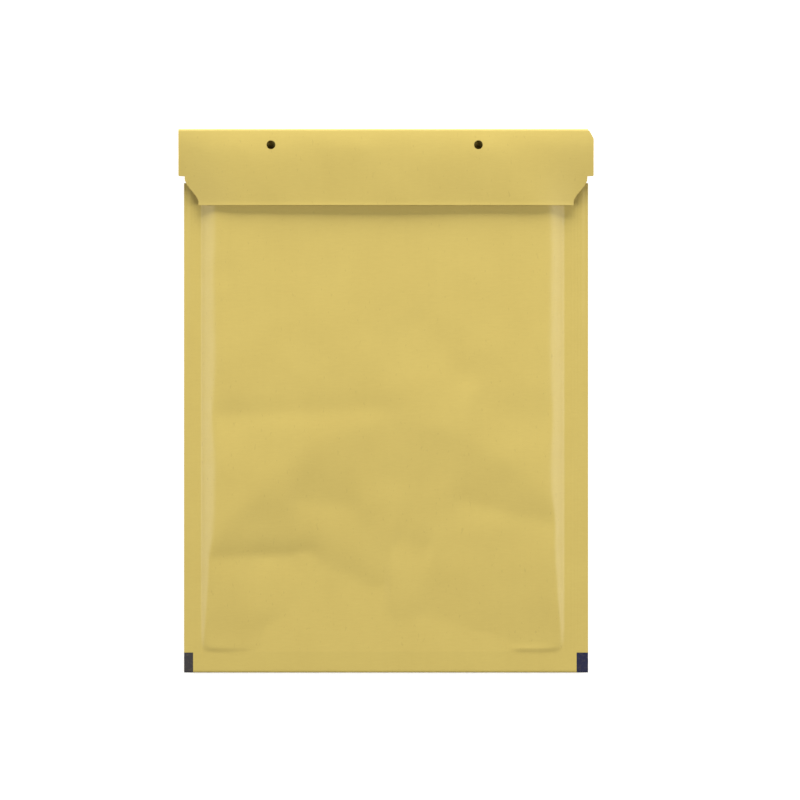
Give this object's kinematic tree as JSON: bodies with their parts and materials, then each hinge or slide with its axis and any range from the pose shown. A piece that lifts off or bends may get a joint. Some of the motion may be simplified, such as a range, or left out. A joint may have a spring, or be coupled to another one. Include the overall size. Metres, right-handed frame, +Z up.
{
  "type": "padded envelope",
  "caption": "Bubble-lined kraft paper mailing envelope lying flat, its wide header and tapered flap folded over the front.",
  "frame": {"origin": "middle of the envelope's outline, on the surface that it lies on", "axes": "+Y from the bottom fold towards the crease of the flap, +Z up through the thickness out of the front panel, +X to the right seen from the front"},
  "size_m": [0.2052, 0.269, 0.012],
  "materials": {
    "kraft_paper": "matte gold kraft, with a faint fibre grain",
    "bubble_film": "clear glossy film",
    "adhesive": "tacky, slightly glossy",
    "release_paper": "smooth coated paper"
  },
  "bodies": {
    "root": {"kraft_sheet": "kraft_paper", "bubble_lining": "bubble_film", "adhesive_strip": "adhesive", "release_liner": "release_paper"}
  },
  "joints": []
}
